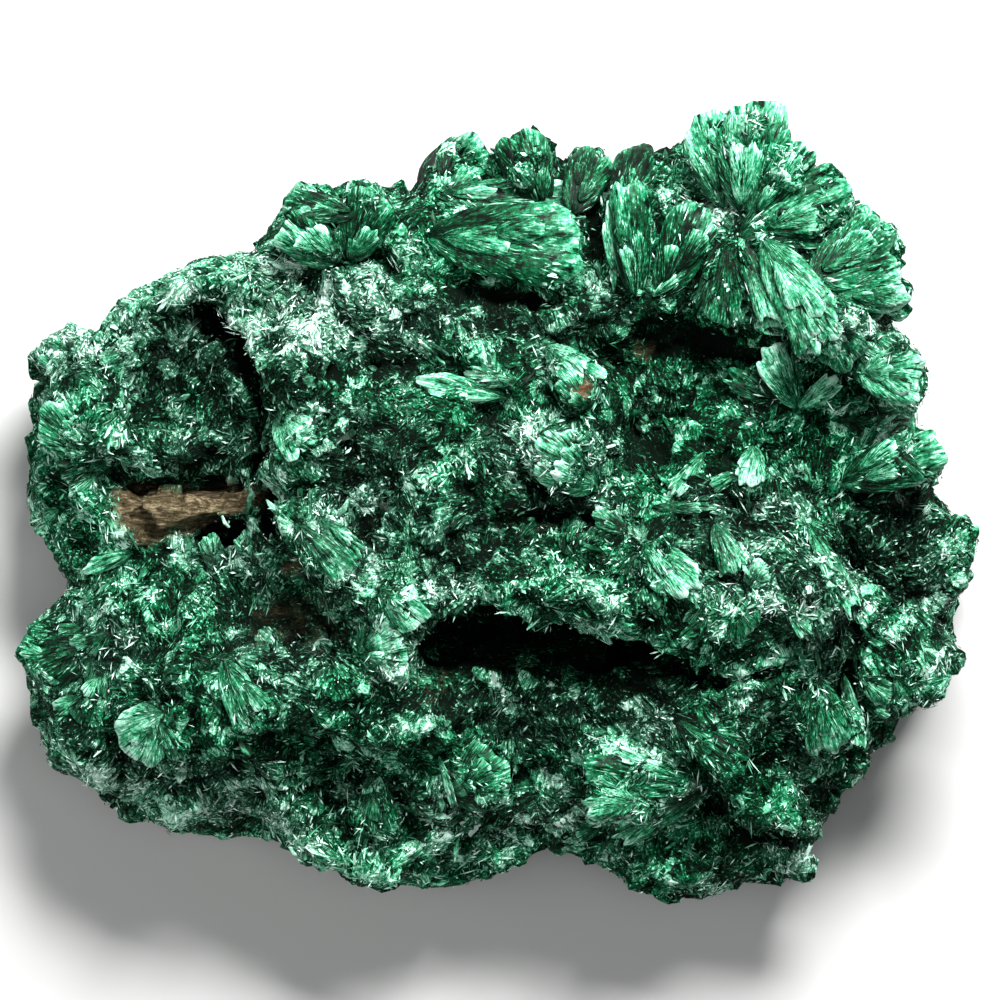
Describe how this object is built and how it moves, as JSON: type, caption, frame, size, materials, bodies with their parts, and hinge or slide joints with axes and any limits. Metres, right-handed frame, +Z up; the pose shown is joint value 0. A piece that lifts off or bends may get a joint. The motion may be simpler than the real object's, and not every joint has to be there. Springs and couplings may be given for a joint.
{
  "type": "malachite",
  "caption": "Rugged hand specimen of fibrous malachite: radiating green crystal fans over a pitted, hollowed stone that lies on its broken back.",
  "frame": {"origin": "middle of the flat patch that the stone rests on", "axes": "+Z up out of the fan-covered face, +X to that face's right along the stone's length, +Y to its top"},
  "size_m": [0.096, 0.0787, 0.0368],
  "materials": {
    "stone": "silky fibres over a dull dark green, with a rusty brown patch in the left hollow"
  },
  "bodies": {
    "root": {"malachite": "stone"}
  },
  "joints": []
}
